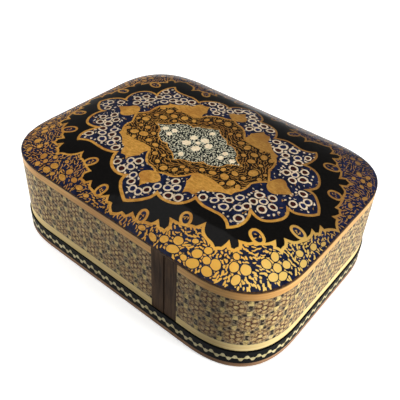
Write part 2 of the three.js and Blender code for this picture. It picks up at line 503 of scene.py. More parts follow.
def mosaic_material(name, flower_at):
    g = new_material(name)
    spot = g.strip()
    along, up, _ = g.split(spot)
    # Hand-set rods never line up quite.
    sway = g.noise(spot, 0.16, 1.0)
    lift = g.noise(g.join(up, along), 0.19, 1.0)
    along = along + (sway - 0.5) * 0.9
    up = up + (lift - 0.5) * 0.7

    def wrapped(value, period):
        turns = g.math("ROUND", value / period)
        return g.size(value - turns * period)

    def fold(start):
        """Distances along and up to the nearest point of the lattice through start."""
        x = wrapped(along - start, PITCH)
        z = wrapped(up - MIDDLE_ROW, 2 * ROW_RISE)
        far_x = PITCH / 2 - x
        far_z = ROW_RISE - z
        near = g.math("LESS_THAN", x * x + z * z, far_x * far_x + far_z * far_z)
        keep = 1.0 - near
        return x * near + g.size(far_x) * keep, z * near + g.size(far_z) * keep

    def dots(x, z, *places):
        """Round spots, each at a place along and up and with a radius."""
        return g.most(*(
            g.rise(g.length(x - at_x, z - at_z), radius + DOT_EDGE, radius - DOT_EDGE)
            for at_x, at_z, radius in places))

    x, z = fold(flower_at)
    u, w = fold(flower_at + PITCH / 2)
    away = g.length(x, z)
    chips = g.cell_tone(spot, 1.5)
    grit = g.noise(spot, 2.6, 2.0)

    speck = g.cell_tone(spot, 2.1)
    cream = g.mix(chips, (176, 146, 92), (218, 186, 124))
    buff = g.mix(chips, (140, 112, 76), (178, 146, 100))
    brown = g.mix(chips, (66, 34, 20), (96, 52, 34))
    spokes = g.least(
        g.most(g.rise(z, 0.26, 0.1), g.rise(g.size(x * 0.866 - z * 0.5), 0.26, 0.1)),
        g.rise(away, 0.9, 1.1) * g.rise(away, 2.6, 2.4))
    shield = g.rise(u - (0.92 - (w - 1.3) * 0.2), 0.12, -0.12) * g.rise(w, 1.2, 1.36)
    color = g.layered(
        # Ground between the flowers: grey-brown chips in dark joints.
        (136, 112, 82),
        (g.rise(grit, 0.35, 0.7), (182, 156, 118)),
        (g.rise(chips, 0.6, 0.7) * 0.6, (104, 92, 72)),
        (g.rise(g.joints(spot, 1.15), 0.14, 0.03) * 0.55, (72, 50, 32)),
        # Flower: a dot in a brown ring, six petals with brown spokes between, and an outer ring.
        (g.rise(away, 3.1, 2.9), buff),
        (g.rise(g.size(away - 2.55), 0.3, 0.12) * 0.5, brown),
        (g.most(spokes, g.rise(g.size(away - 1.03), 0.3, 0.14)), brown),
        (dots(x, z, (0.0, 1.9, 0.54), (1.66, 0.98, 0.56)), cream),
        (dots(x, z, (2.45, 0.0, 0.34), (1.22, 2.12, 0.3)), brown),
        (dots(x, z, (2.6, 1.4, 0.32), (0.0, 2.95, 0.32), (1.45, 2.62, 0.28)), cream),
        (dots(x, z, (0.0, 0.0, 0.62)), (218, 194, 126)),
        # Between two flowers of a row: black chips, pale shields, and dark, grey, dark.
        (dots(u, w, (1.28, 2.86, 0.56)), (28, 20, 18)),
        (shield * g.rise(w, 3.35, 3.05), g.mix(chips, (198, 172, 104), (230, 206, 138))),
        (g.rise(u, 1.05, 0.85) * g.rise(w, 1.2, 0.9),
         g.mix(chips, (122, 106, 80), (158, 136, 100))),
        (g.rise(u, 0.62, 0.46) * g.rise(w, 1.32, 1.12),
         g.mix(g.rise(w, 0.25, 0.6), (64, 56, 46), (26, 18, 12))),
        # Dirt, and odd chips darker or paler than the rest.
        (g.rise(grit, 0.56, 0.72) * 0.5, (58, 38, 22)),
        (g.rise(speck, 0.8, 0.84) * 0.5, (46, 34, 26)),
        (g.rise(speck, 0.16, 0.12) * 0.45, (216, 194, 150)))
    return g.finish(
        color, roughness=g.spread(grit, 0.32, 0.5), bump=chips + grit * 0.5, depth=0.012,
        Coat_Weight=0.2, Coat_Roughness=0.12, Specular_IOR_Level=0.03)


def velvet_material():
    g = new_material("velvet")
    spot = g.place()
    pile = g.noise(spot, 3.2, 3.0, 0.7)
    brushed = g.noise(g.stretch(spot, 0.05, 0.12, 0.1), 1.0, 3.0)
    tone = g.rise(brushed + pile * 0.3, 0.45, 0.85)
    color = g.mix(tone, (74, 12, 26), (120, 26, 44))
    return g.finish(
        color, roughness=g.spread(pile, 0.85, 1.0), bump=pile, depth=0.12,
        Sheen_Weight=0.6, Sheen_Roughness=0.4)


# Layers of the walls and the band round the base. Each section is a plain rectangle.
def rectangle(low, high, depth):
    return [(0, low), (0, high), (depth, high), (depth, low)]


def face_wall(body, end, side, bottom, top, flower_at):
    """Three layers on a wall, whose outline runs from the front at the seam round to the back."""
    def path_at(inset):
        return end_path(inset, end, side)

    mosaic = mosaic_material(f"{body}_mosaic", flower_at)
    for layer, low, high, material, slot, node in (
        ("cream_strip", bottom, MOSAIC_BOTTOM, cream_strip, "cream_stringing", "lower_stringing"),
        ("mosaic", MOSAIC_BOTTOM, MOSAIC_TOP, mosaic, "khatam", "khatam_veneer"),
        ("tan_strip", MOSAIC_TOP, top, tan_strip, "tan_stringing", "top_stringing"),
    ):
        sweep(f"{body}_{layer}", rectangle(low, high, VENEER), path_at, "path", body, material,
              slot, f"{body}_{node}")


drawer_corner_at = HALF_LENGTH - CORNER_REACH - DRAWER_WALL_END
face_wall("case", CASE_WALL_END, -1, WALL_BOTTOM, WALL_TOP, CASE_WALL_END - 2.9)
face_wall("drawer", DRAWER_WALL_END, 1, DRAWER_BOTTOM, DRAWER_TOP, drawer_corner_at + 21.1)


# Base: the band's three rings lock into each other along the zigzag, and a plate lies under them.
# The zigzag is thick where it turns and thin between, so it reads as two rows of joined beads.
BAND = 1.0
ZIGZAG_PITCH = 3.75
ZIGZAG_MIDDLE = BAND_BOTTOM + 2.6
ZIGZAG_SWING = 0.54
BEAD, NECK = 0.8, 0.18
STROKE_PARTS = 8


def zigzag_edge(side):
    """Height of the zigzag's lower (-1) or upper (1) edge at a share of one stroke, up or down."""
    def height(share, up):
        turn = up if share < 0.5 else -up
        away = min(share, 1 - share) * ZIGZAG_PITCH / 2
        bead = math.sqrt(max(BEAD**2 - away**2, NECK**2))
        slope = min(1.0, max(0.0, (ZIGZAG_PITCH / 4 - away) / 0.5))
        return ZIGZAG_MIDDLE + turn * ZIGZAG_SWING * slope + side * bead
    return height


def level_edge(z):
    return lambda share, up: z


def band_ring(name, lower, upper, material, slot, node):
    """A ring round the base between two edges."""
    outline = closed(whole_path(-BASE_PROUD))
    run = run_along(outline)
    count = 2 * round(run[-1] / ZIGZAG_PITCH) * STROKE_PARTS
    way = np.linspace(0, run[-1], count + 1)
    here = np.stack([np.interp(way[:-1], run, outline[:, k]) for k in (0, 1)], 1)
    inwards = unit(left_of(np.roll(here, -STROKE_PARTS, 0) - np.roll(here, STROKE_PARTS, 0)))
    sections = []
    for i in range(count):
        stroke, part = divmod(i, STROKE_PARTS)
        up = 1 if stroke % 2 == 0 else -1
        low, high = (edge_at(part / STROKE_PARTS, up) for edge_at in (lower, upper))
        sections.append(rectangle(low, high, BAND))
    grid = np.array([
        [(*(place + aside * inset), height) for inset, height in section]
        for place, aside, section in zip(here, inwards, sections)
    ])
    shell(name, grid, way, sections, "none", "case", material, slot, node, 50)


ebony = ebony_material()
band_ring("band_below_zigzag", level_edge(BAND_BOTTOM), zigzag_edge(-1), ebony, "ebony",
          "base_band_lower")
band_ring("zigzag", zigzag_edge(-1), zigzag_edge(1), bone_material(), "bone", "base_zigzag_inlay")
band_ring("band_above_zigzag", zigzag_edge(1), level_edge(WALL_BOTTOM), ebony, "ebony",
          "base_band_upper")

EDGE_ROUND = 0.5
plate_edge = [
    (EDGE_ROUND * (1 - math.cos(a)) - BASE_PROUD, EDGE_ROUND * (1 - math.sin(a)))
    for a in np.linspace(math.pi / 2, 0, 7)
]
sweep("bottom_edge_plate", plate_edge + [(-BASE_PROUD, PLATE_TOP)], whole_path, "section", "case",
      bottom_wood, "walnut", "bottom_plate")

for nodes, material in (
    (("base_board", "case_wall_core", "drawer_wall_core"), plain_wood),
    ([f"{body}_edge_bar_{end}" for body in ("case", "drawer") for end in ("front", "back")],
     dark_bar),
    (("tray_wall", "tray_floor"), walnut),
):
    for node in nodes:
        shown = frame["nodes"][node].data.materials
        shown.clear()
        shown.append(material)


def lay_lining():
    """A sheet of velvet laid on the tray's floor, with a soft unevenness."""
    low, high = node_box("tray_lining")
    outline = whole_path(HALF_LENGTH - high[0])
    count = len(outline)

    def height(x, y, scale):
        uneven = math.sin(0.23 * x + 0.4) * math.sin(0.19 * y + 1.1) * 0.09
        edge_drop = 0.22 * max(0.0, (scale - 0.975) / 0.025) ** 2
        return high[2] - 0.1 + uneven * (1 - scale ** 8) - edge_drop

    # Rings from the middle of the upper face out to the edge and in again below.
    points = [
        (x, y, height(x, y, scale))
        for scale in [*np.linspace(0.08, 0.88, 11), 0.94, 0.975, 0.992, 1.0]
        for x, y in outline * scale
    ]
    points += [(x, y, low[2]) for scale in (1.0, 0.5) for x, y in outline * scale]
    top, bottom = len(points), len(points) + 1
    last = top - count
    points += [(0, 0, height(0, 0, 0)), (0, 0, low[2])]
    faces = []
    for i in range(count):
        j = (i + 1) % count
        faces.append((top, i, j))
        for a in range(0, last, count):
            faces.append((a + i, a + count + i, a + count + j, a + j))
        faces.append((last + i, bottom, last + j))
    piece = make_piece("velvet_lining", points, faces, None, "drawer", velvet_material(),
                       "velvet", "tray_lining", 60)


lay_lining()


# Paints under the lacquer. All share its gloss and its faint ripple.
def paint_material(name, painted):
    g = new_material(name)
    spot = g.place()
    color, roughness, metallic = painted(g, spot)
    ripple = g.noise(spot, 0.09, 2.0)
    return g.finish(
        color, roughness=roughness, bump=ripple, depth=0.2, Metallic=metallic, Coat_Weight=0.42,
        Coat_Roughness=0.05, Specular_IOR_Level=0.08)


def paint_two(low, high, scale, roughness=0.5):
    """Paint that wavers between two tones."""
    def painted(g, spot):
        thin = g.noise(spot, scale, 3.0)
        return g.mix(g.rise(thin, 0.3, 0.7), low, high), roughness, 0.0
    return painted


def paint_gold(low, high, fleck):
    """Gold paint, uneven where the brush left more or less of it, with a painted highlight at the
    front corner and painted shade towards the back and the right."""
    def painted(g, spot):
        x, y, _ = g.split(spot)
        brush = g.noise(g.stretch(spot, 1.0, 1.6, 1.0), 0.7, 4.0, 0.6)
        flecks = g.noise(spot, 5.0, 2.0)
        wash = g.noise(spot, 0.12, 2.0)
        # Painted highlight: brighter, yellower gold at the front corner. Painted shade: darker gold
        # towards the back and the right.
        full = g.mix(g.rise(x, 38, 54), (253, 192, 78), (255, 218, 120))
        back = g.rise(x * 0.6 + y, -5, 40) * 0.6 + g.rise(y, 27, 38) * 0.22
        color = g.layered(
            low, (g.rise(brush, 0.3, 0.7), high), (g.rise(flecks, 0.45, 0.75) * 0.4, fleck),
            (g.rise(wash, 0.48, 0.68) * 0.45, (170, 106, 44)),
            # These last two layers are the painted highlight and the painted shade.
            (g.rise(x - y, 48, 70) * 0.8, full), (back, (100, 72, 46)))
        return color, g.spread(brush, 0.36, 0.5), 0.2
    return painted


def paint_blue(g, spot):
    deep = g.noise(spot, 0.55, 3.0)
    outline = g.rise(g.noise(spot, 1.1, 2.0), 0.56, 0.66)
    blue = g.mix(g.rise(deep, 0.3, 0.7), (10, 14, 32), (26, 34, 66))
    return g.mix(outline * 0.75, blue, (9, 9, 15)), 0.5, 0.0


PAINTS = {
    "border": paint_blue,
    "black": paint_two((6, 5, 4), (13, 11, 9), 1.2, 0.35),
    "gold": paint_gold((178, 120, 44), (222, 164, 74), (240, 198, 110)),
    "blue": paint_blue,
    "scroll": paint_two((10, 8, 6), (34, 25, 14), 0.35),
    "pale": paint_two((9, 12, 14), (20, 27, 30), 0.4),
    "white": paint_two((186, 164, 134), (232, 214, 184), 1.4),
    "maroon": paint_two((34, 12, 12), (66, 24, 22), 1.6),
    "navy": paint_two((14, 16, 40), (28, 34, 78), 1.6),
    "cream": paint_two((226, 204, 164), (246, 232, 200), 1.4),
    "old_gold": paint_gold((150, 98, 36), (206, 148, 64), (228, 180, 94)),
    "silver": paint_two((176, 174, 146), (222, 216, 188), 1.4),
    "rim": paint_two((30, 20, 13), (84, 58, 34), 0.9),
}
PAINT_NUMBER = {name: number for number, name in enumerate([*PAINTS, "underside"])}


# Painting: flat shapes, each over those before it, which are cut into the domed top's faces.
class Painting:
    def __init__(self):
        self.points = []
        self.edges = []
        self.shapes = []

    def shape(self, outline, paint, within=None):
        """A filled outline. Only its part inside the outline called within is painted."""
        outline = np.asarray(outline, float)
        start, count = len(self.points), len(outline)
        self.points += outline.tolist()
        self.edges += [(start + i, start + (i + 1) % count) for i in range(count)]
        self.shapes.append((outline, paint, within))

    def line(self, path, width, paint):
        """A stroke along a closed path. width is one number, or one for each point."""
        steps_in = unit(path - np.roll(path, 1, 0))
        steps_out = unit(np.roll(path, -1, 0) - path)
        across = steps_in + steps_out
        across /= np.maximum(np.linalg.norm(across, axis=1, keepdims=True), 0.05)
        normal = left_of(across)
        lean = np.clip(np.sum(normal * left_of(steps_in), 1), 0.42, 1)
        reach = (np.asarray(width) / 2 / lean)[:, None]
        left, right = path + normal * reach, path - normal * reach
        start, count = len(self.points), len(path)
        self.points += left.tolist() + right.tolist()
        for i in range(count):
            j = (i + 1) % count
            a, b, c, d = start + i, start + j, start + count + j, start + count + i
            self.edges += [(a, b), (d, c), (a, d), (b, c), (a, c)]
            for ring in ((left[i], left[j], right[j]), (left[i], right[j], right[i])):
                self.shapes.append((np.array(ring), paint, None))


def inside(outline, points):
    """Which points lie inside a closed outline."""
    found = np.zeros(len(points), bool)
    x, y = points.T
    for (ax, ay), (bx, by) in zip(outline, np.roll(outline, -1, 0)):
        if ay != by:
            found ^= ((ay > y) != (by > y)) & (x < (bx - ax) * (y - ay) / (by - ay) + ax)
    return found


CURVE_STEP = 0.7


def curve(*stations):
    """A line through stations of (x, y, sag): each arc to the next bows to its right by sag."""
    line = []
    for (ax, ay, sag), (bx, by, _) in zip(stations, stations[1:]):
        a, b = np.array([ax, ay], float), np.array([bx, by], float)
        chord = np.linalg.norm(b - a)
        count = max(2, math.ceil((chord + 2 * abs(sag)) / CURVE_STEP))
        shares = np.linspace(0, 1, count, endpoint=False)[:, None]
        if sag == 0:
            line.append(a + (b - a) * shares)
            continue
        radius = chord ** 2 / (8 * abs(sag)) + abs(sag) / 2
        right = np.array([b[1] - a[1], a[0] - b[0]]) / chord * math.copysign(1, sag)
        middle = (a + b) / 2 + right * (abs(sag) - radius)
        start = math.atan2(*(a - middle)[::-1])
        turn = 2 * math.acos(max(-1.0, min(1.0, (radius - abs(sag)) / radius)))
        angles = start + turn * math.copysign(1, sag) * shares
        line.append(middle + radius * np.hstack([np.cos(angles), np.sin(angles)]))
    return np.vstack([*line, stations[-1][:2]])


QUARTERS = ((1, 1), (-1, 1), (-1, -1), (1, -1))


def four_times(quarter):
    """A closed outline from a quarter of it, which runs from the +X axis to the +Y axis."""
    return np.vstack([
        quarter,
        (quarter * (-1, 1))[::-1][1:],
        (quarter * (-1, -1))[1:],
        (quarter * (1, -1))[::-1][1:-1],
    ])


def both_sides(half, mirror):
    """A closed outline from a half of it."""
    return np.vstack([half, (half * mirror)[::-1][1:-1]])


def by_hand(points, much=0.22):
    """Moves points a little, as a hand does that paints without a ruler."""
    x, y = points.T
    return np.stack([
        x + much * (np.sin(0.21 * x + 0.37 * y + 1.3) + 0.6 * np.sin(0.55 * x - 0.43 * y)),
        y + much * (np.sin(0.33 * x - 0.24 * y + 0.4) + 0.6 * np.sin(0.47 * x + 0.61 * y + 2)),
    ], 1)


def touch(outline, mirror, paint, within=None):
    """Paints an outline by hand in one quarter of the top."""
    painting.shape(by_hand(outline * mirror), paint, within)


def heading(turn):
    """Unit vectors ahead and to the left."""
    c, s = math.cos(turn), math.sin(turn)
    return np.array([(c, s), (-s, c)])


def disc(x, y, radius, petals, wave, points, stretch, turn):
    angle = np.linspace(0, 2 * math.pi, points, endpoint=False)
    reach = radius * (1 + wave * np.cos(petals * angle))
    flat = np.stack([reach * np.cos(angle), reach * np.sin(angle) * stretch], 1)
    return flat @ heading(turn) + (x, y)


def leaf(x, y, turn, length, width, bend):
    """A brush stroke that is thick in its middle and runs out to a point at its tip."""
    ahead, left = heading(turn)
    base = np.array([x, y])
    middle = base + ahead * 0.5 * length + left * bend
    return np.array([
        base - left * 0.14 * width, middle - left * 0.5 * width, base + ahead * length,
        middle + left * 0.5 * width, base + left * 0.14 * width])


def strokes(spots, flow, long, wide, paint, within=None, stray=0.4, boldness=None):
    """Short blunt brush strokes that follow a direction and stray a little from it."""
    for spot in spots:
        bold = boldness(*spot) if boldness else 1.0
        if rng.uniform() > bold**-0.35:
            continue
        turn = flow(*spot) + rng.uniform(-stray, stray)
        half = rng.uniform(*long) * bold**0.1 / 2
        thick = rng.uniform(*wide) * bold**1.45 / 2
        ahead, left = heading(turn)
        bent = left * rng.uniform(-0.3, 0.3)
        back, front, side = spot - ahead * half, spot + ahead * half, left * thick
        painting.shape([
            back - side * 0.7, spot + bent - side, front - side * 0.5,
            front + side * 0.5, spot + bent + side, back + side * 0.7,
        ], paint, within)


def scattered(half_x, half_y, spacing, much):
    """Points on a loose grid of triangles over a rectangle."""
    found = []
    for row in range(int(2 * half_y / (spacing * 0.87)) + 1):
        x = (row % 2) * spacing / 2 - half_x
        while x <= half_x:
            dx, dy = rng.uniform(-much, much, 2) * spacing
            found.append((x + dx, row * spacing * 0.87 - half_y + dy))
            x += spacing
    return np.array(found)


painting = Painting()

# Black field, with the border's gold edge, which has spikes, notches and looped buds.
field = by_hand(four_times(curve(
    (56.5, 0, -0.3), (53.9, 4.0, 0), (52.7, 3.7, 0.1), (53.5, 6.4, -0.2), (52.6, 7.7, 0),
    (51.4, 7.4, 0.1), (51.7, 9.8, 0.2), (50.8, 13.6, 0.2), (49.9, 16.0, 0.1), (47.9, 17.2, 0.1),
    (49.4, 19.0, -0.2), (49.6, 21.3, -0.3), (47.3, 21.8, 0), (45.9, 20.2, 0.1), (44.4, 23.0, 0.1),
    (41.6, 25.0, 0.1), (40.8, 26.4, 0), (38.8, 27.4, 0.1), (40.3, 29.3, -0.3), (39.9, 31.3, -0.1),
    (38.0, 31.5, 0), (36.5, 30.1, 0.1), (36.0, 32.7, -0.3), (34.0, 34.3, -0.3), (31.5, 32.7, 0.2),
    (28.4, 31.4, 0.2), (26.5, 29.0, 0.1), (25.1, 31.4, -0.2), (22.2, 32.4, 0), (19.9, 33.3, 0),
    (17.8, 33.6, 0.1), (19.0, 35.7, -0.1), (18.5, 37.6, -0.2), (16.2, 37.6, 0), (14.6, 36.1, 0.1),
    (13.3, 37.9, -0.1), (10.4, 38.7, 0), (7.2, 39.0, 0), (5.4, 37.8, 0.1), (4.3, 39.5, -0.1),
    (2.6, 39.1, 0.1), (1.5, 40.3, 0), (0, 41.1, 0),
)))


def way_between(value, start, end):
    """How far a value is on the way from start to end, from 0 to 1."""
    return min(1.0, max(0.0, (value - start) / (end - start)))


def boldness(x, y):
    """The border's brushwork is fine at the back and sides and bolder towards the front corner."""
    front = way_between(x - 1.1 * y, 28, 84)
    right = way_between(x + 0.5 * y, 30, 50)
    back = way_between(y, 22, 36)
    return 1 + 0.55 * front - 0.16 * max(right, back)


def border_flow(x, y):
    return (math.atan2(y, x) + 0.7 * math.sin(0.24 * x + 0.13 * y)
            + 0.6 * math.sin(0.21 * y - 0.12 * x))


spots = scattered(57, 42, 1.22, 0.3)
spots = spots[~inside(field * 0.985, spots) & inside(whole_path(0.6), spots)]
strokes(spots, border_flow, (0.8, 1.6), (0.3, 0.43), "gold", None, 0.8, boldness)
painting.shape(field, "black")
painting.line(field, [0.78 * boldness(*p)**0.7 for p in field], "gold")
for x, y, size in ((48.6, 11.4, 2.1), (41.1, 22.4, 2.35), (20.9, 30.6, 2.0), (9.0, 37.0, 1.95)):
    for mirror in QUARTERS:
        bud = disc(x, y, size, 2, 0.14, 24, 0.86, math.atan2(y, x))
        around = by_hand(bud * mirror, 0.12)
        painting.shape(around, "border")
        for dx, dy in ((-0.6, -0.4), (0.5, 0.1), (-0.1, 0.6), (0.2, -0.7)):
            stroke = leaf(x + dx, y + dy, rng.uniform(0, 6), rng.uniform(0.8, 1.2), 0.4, 0.1)
            touch(stroke, mirror, "gold")
        painting.line(around, 0.78 * boldness(x * mirror[0], y * mirror[1])**0.6, "gold")

# Solid gold blossoms of the border, gathered in the corners.
border_blossoms = [
    (49.1, 24.4, 1.15, 1.4), (48.7, 27.8, 1.45, 1.35), (51.3, 26.5, 1.3, 1.4),
    (54.1, 27.1, 1.15, 1.7), (52.0, 29.8, 1.15, 1.5), (53.3, 17.6, 1.0, 1.3),
    (55.6, 19.2, 0.85, 1.6), (52.7, 23.0, 1.1, 1.15), (46.2, 33.4, 1.5, 1.6),
    (42.8, 35.0, 1.35, 1.4), (45.2, 37.4, 1.2, 1.4), (37.5, 37.3, 1.5, 1.4),
    (34.5, 38.4, 1.2, 0.95), (30.9, 37.9, 1.6, 1.3), (32.4, 40.4, 1.8, 1.2),
    (36.8, 40.3, 1.5, 1.1), (33.2, 35.6, 1.2, 1.1), (24.4, 37.1, 1.6, 1.35),
    (24.4, 40.4, 1.9, 1.1), (20.5, 39.0, 1.5, 0.95), (16.3, 40.2, 1.8, 0.95),
    (12.1, 40.6, 1.3, 0.8), (28.2, 34.9, 0.95, 0.8), (54.7, 12.0, 1.0, 1.3),
    (55.8, 8.2, 0.7, 1.2), (28.6, 40.9, 1.1, 0.8), (41.2, 32.6, 1.0, 0.9),
]
for mirror in QUARTERS:
    for x, y, wide, tall in border_blossoms:
        dx, dy = rng.normal(0, 0.25, 2)
        bold = boldness(x * mirror[0], y * mirror[1])
        size = rng.uniform(0.92, 1.06) * (0.84 + 0.45 * (bold - 1))
        turn = rng.uniform(-0.3, 0.3)
        for grown, paint_name in ((0.3, "border"), (0.0, "gold")):
            spot = disc(x + dx, y + dy, wide * size + grown, 5, 0.025, 18,
                        (tall + grown) / (wide + grown), turn)
            touch(spot, mirror, paint_name)

# Medallion: blue ground in a gold line, pointed at both axes and on the diagonals.
medallion = by_hand(four_times(curve(
    (49.2, 0, 0.45), (45.3, 4.7, 0.55), (41.0, 5.8, 5.2), (33.4, 15.3, 0.3), (35.0, 20.4, 0.6),
    (33.1, 25.4, -0.55), (28.0, 23.2, 0.1), (22.0, 23.5, 0.2), (17.6, 21.9, 3.2), (7.0, 28.0, 0.5),
    (5.6, 31.6, 0.5), (0, 35.8, 0),
)))
painting.shape(medallion, "blue")
spots = scattered(49, 36, 2.5, 0.35)
for x, y in spots[inside(medallion, spots)]:
    stroke = leaf(x, y, rng.uniform(0, 6.3), rng.uniform(0.7, 1.4), rng.uniform(0.3, 0.45),
                  rng.uniform(-0.2, 0.2))
    painting.shape(stroke, "white" if rng.uniform() < 0.6 else "gold", medallion)

# Blossoms with white rings on the blue, with trails of white dots.
MAROON, NAVY = "maroon", "navy"
blossoms = [
    (34.7, 9.3, NAVY), (32.3, 11.4, MAROON), (35.9, 12.3, MAROON), (37.9, 9.2, MAROON),
    (35.5, 6.1, MAROON), (31.9, 7.7, MAROON), (41.4, 3.3, MAROON), (44.4, 1.2, NAVY),
    (27.9, 13.2, NAVY), (26.2, 16.1, MAROON), (30.1, 17.3, NAVY), (31.9, 15.0, MAROON),
    (32.9, 20.3, MAROON), (22.9, 19.5, NAVY), (19.5, 20.4, MAROON), (23.1, 16.6, MAROON),
    (27.0, 20.2, NAVY), (13.5, 25.5, MAROON), (10.3, 22.3, NAVY), (8.1, 24.4, NAVY),
    (7.7, 20.7, MAROON), (10.4, 26.6, MAROON), (4.9, 26.1, NAVY), (3.3, 29.1, MAROON),
    (0.9, 31.4, NAVY),
]
dots = [
    (38.9, 12.9), (39.9, 11.3), (40.2, 9.6), (38.6, 3.5), (39.4, 1.9), (38.9, 0.3), (46.6, 1.9),
    (29.5, 11.5), (29.5, 9.9), (29.6, 8.3), (30.1, 6.7), (30.7, 5.3), (33.2, 17.6), (34.2, 22.2),
    (28.3, 22.0), (30.2, 22.3), (32.1, 23.0), (17.2, 19.4), (18.0, 17.8), (19.3, 17.4),
    (20.7, 16.9), (25.2, 17.9), (25.4, 21.9), (15.8, 23.6), (12.4, 28.0), (7.9, 27.6),
    (6.1, 23.0), (5.4, 21.4), (6.3, 28.4), (1.6, 33.6), (6.9, 17.9), (1.8, 26.9),
]
for mirror in QUARTERS:
    for x, y, paint in blossoms:
        dx, dy = rng.normal(0, 0.16, 2)
        turn = rng.uniform(0, 6)
        size = rng.uniform(0.92, 1.1)
        stretch = rng.uniform(0.86, 1.0)
        ring = disc(x + dx, y + dy, 1.62 * size, 6, 0.03, 18, stretch, turn)
        core = disc(x + dx, y + dy, 1.02 * size, 3, 0.07, 13, stretch, turn)
        touch(ring, mirror, "white", medallion)
        touch(core, mirror, paint, medallion)
    for x, y in dots:
        dx, dy = rng.normal(0, 0.12, 2)
        spot = disc(x + dx, y + dy, rng.uniform(0.35, 0.55), 2, 0.15, 7, 1.0, rng.uniform(0, 3))
        touch(spot, mirror, "white", medallion)
painting.line(medallion, [0.9 - 0.005 * y for x, y in medallion], "gold")

# Inner ground: gold twigs on black, in a gold line, with a pale lobed rhomb in its middle.
ground = by_hand(four_times(curve(
    (30.4, 0, -0.3), (26.8, 4.9, 1.9), (22.4, 13.2, -0.3), (12.4, 12.7, -0.5), (9.6, 14.6, 0.3),
    (7.0, 18.2, 0.5), (3.2, 19.6, -0.2), (0, 21.3, 0),
)))
painting.shape(ground, "scroll")


def ground_flow(x, y):
    return math.atan2(x / 900, -y / 441) + 0.9 * math.sin(0.34 * x + 0.2) * math.sin(0.37 * y + 0.9)


spots = scattered(30, 21, 1.2, 0.3)
strokes(spots[inside(ground, spots)], ground_flow, (1.1, 1.9), (0.26, 0.38), "old_gold", ground)
ground_blossoms = [
    (24.2, 0.6, 1.5), (19.9, 4.7, 1.2), (23.4, 4.6, 0.9), (21.4, 9.3, 1.4), (17.8, 8.2, 1.25),
    (24.7, 9.4, 1.05), (14.2, 9.6, 1.2), (10.6, 10.4, 1.0), (19.4, 11.6, 0.9), (7.4, 13.8, 1.0),
    (0.3, 17.4, 1.3), (3.6, 16.6, 0.9), (4.6, 12.9, 0.8), (15.6, 5.7, 0.85), (27.4, 1.6, 0.75),
]
for mirror in QUARTERS:
    for x, y, size in ground_blossoms:
        dx, dy = rng.normal(0, 0.2, 2)
        size, turn = size * rng.uniform(1.0, 1.3), rng.uniform(0, 6)
        for grown, paint_name in ((0.5, "scroll"), (0.0, "gold")):
            spot = disc(x + dx, y + dy, size + grown, 5, 0.04, 14, 0.85, turn)
            touch(spot, mirror, paint_name, ground)
painting.line(ground, 0.75, "gold")
rhomb = by_hand(four_times(curve(
    (19.9, 0, -0.35), (15.0, 2.8, 0.6), (12.4, 5.9, 0.7), (7.9, 6.7, 0.5), (4.4, 9.6, -0.3),
    (0, 12.7, 0),
)))
painting.shape(rhomb, "pale")


def rhomb_flow(x, y):
    return 1.9 * math.sin(0.3 * x + 0.2 * y) + 1.6 * math.sin(0.33 * y - 0.21 * x)


spots = scattered(20, 13, 0.98, 0.32)
strokes(spots[inside(rhomb, spots)], rhomb_flow, (0.6, 1.05), (0.36, 0.54), "silver", rhomb, 0.9)
painting.line(rhomb, 0.4, "gold")
middle_blossoms = [
    (0.8, 3.3, 1.6), (3.6, 1.3, 1.55), (1.2, -2.9, 1.65), (-3.2, -2.0, 1.6), (-3.4, 2.1, 1.5),
    (-0.3, 0.3, 1.0), (0.2, 8.6, 1.15), (-0.1, -8.6, 1.2), (11.1, 1.9, 1.1), (11.0, -0.9, 1.15),
    (15.2, 0.2, 1.25), (-11.1, 0.7, 1.15), (-11.3, -2.1, 1.15), (-14.4, -0.6, 1.25),
]
for x, y, size in middle_blossoms:
    spot = disc(x, y, size, 6, 0.13, 18, 0.92, rng.uniform(0, 6))
    painting.shape(by_hand(spot), "cream")

# Four broad gold leaves on the diagonals and a gold palmette at each end of both axes.
broad_leaf = curve(
    (26.8, 9.6, -0.9), (22.4, 13.0, -0.3), (12.4, 12.6, -0.4), (9.7, 14.4, 0.5), (10.2, 18.4, 0.2),
    (12.9, 23.0, 0.7), (15.9, 21.7, -0.3), (17.3, 18.0, -0.3), (20.6, 16.3, 0.4), (25.0, 13.7, 0.5),
    (26.8, 9.6, 0),
)[:-1]
side_palmette = both_sides(curve(
    (39.7, 0, -0.3), (36.9, 1.7, -0.2), (35.2, 3.2, 0.8), (31.8, 3.5, 0.4), (30.2, 0, 0),
), (1, -1))
end_palmette = both_sides(curve(
    (0, 29.6, -0.2), (-1.1, 27.4, -0.3), (-2.7, 25.9, 0.8), (-3.4, 22.7, 0.4), (0, 21.0, 0),
), (-1, 1))
for mirror in QUARTERS:
    touch(broad_leaf, mirror, "gold")
for sign in (1, -1):
    touch(side_palmette, (sign, 1), "gold")
    touch(end_palmette, (1, sign), "gold")


# Domed top: the painting is cut into its faces, and its rim and underside close it.
DOME_RISE = 5.9
DOME_POWER = 4.2
RIM_ROUND = 0.5
RIM_STEP = 1.8
RIM_TURN = math.radians(65)
RIM_INSET = RIM_ROUND * (1 - math.cos(RIM_TURN))
RIM_Z = TOP_HEIGHT - DOME_RISE


def side_gauge(x, y, inset):
    """How far points lie beyond the outline, measured as the corners' superellipse does."""
    reach = CORNER_REACH - inset
    over_x = np.maximum(np.abs(x) - (HALF_LENGTH - CORNER_REACH), 0)
    over_y = np.maximum(np.abs(y) - (HALF_WIDTH - CORNER_REACH), 0)
    return (over_x ** CORNER_POWER + over_y ** CORNER_POWER) ** (1 / CORNER_POWER) - reach


def dome_height(x, y):
    """Height of the dome: its outline is scaled down to reach the point, and rises as it is."""
    low, high = np.full(len(x), 1e-4), np.full(len(x), 1.3)
    for _ in range(44):
        middle = (low + high) / 2
        beyond = side_gauge(x / middle, y / middle, RIM_INSET) > 0
        low = np.where(beyond, middle, low)
        high = np.where(beyond, high, middle)
    return RIM_Z + DOME_RISE * (1 - high ** DOME_POWER)


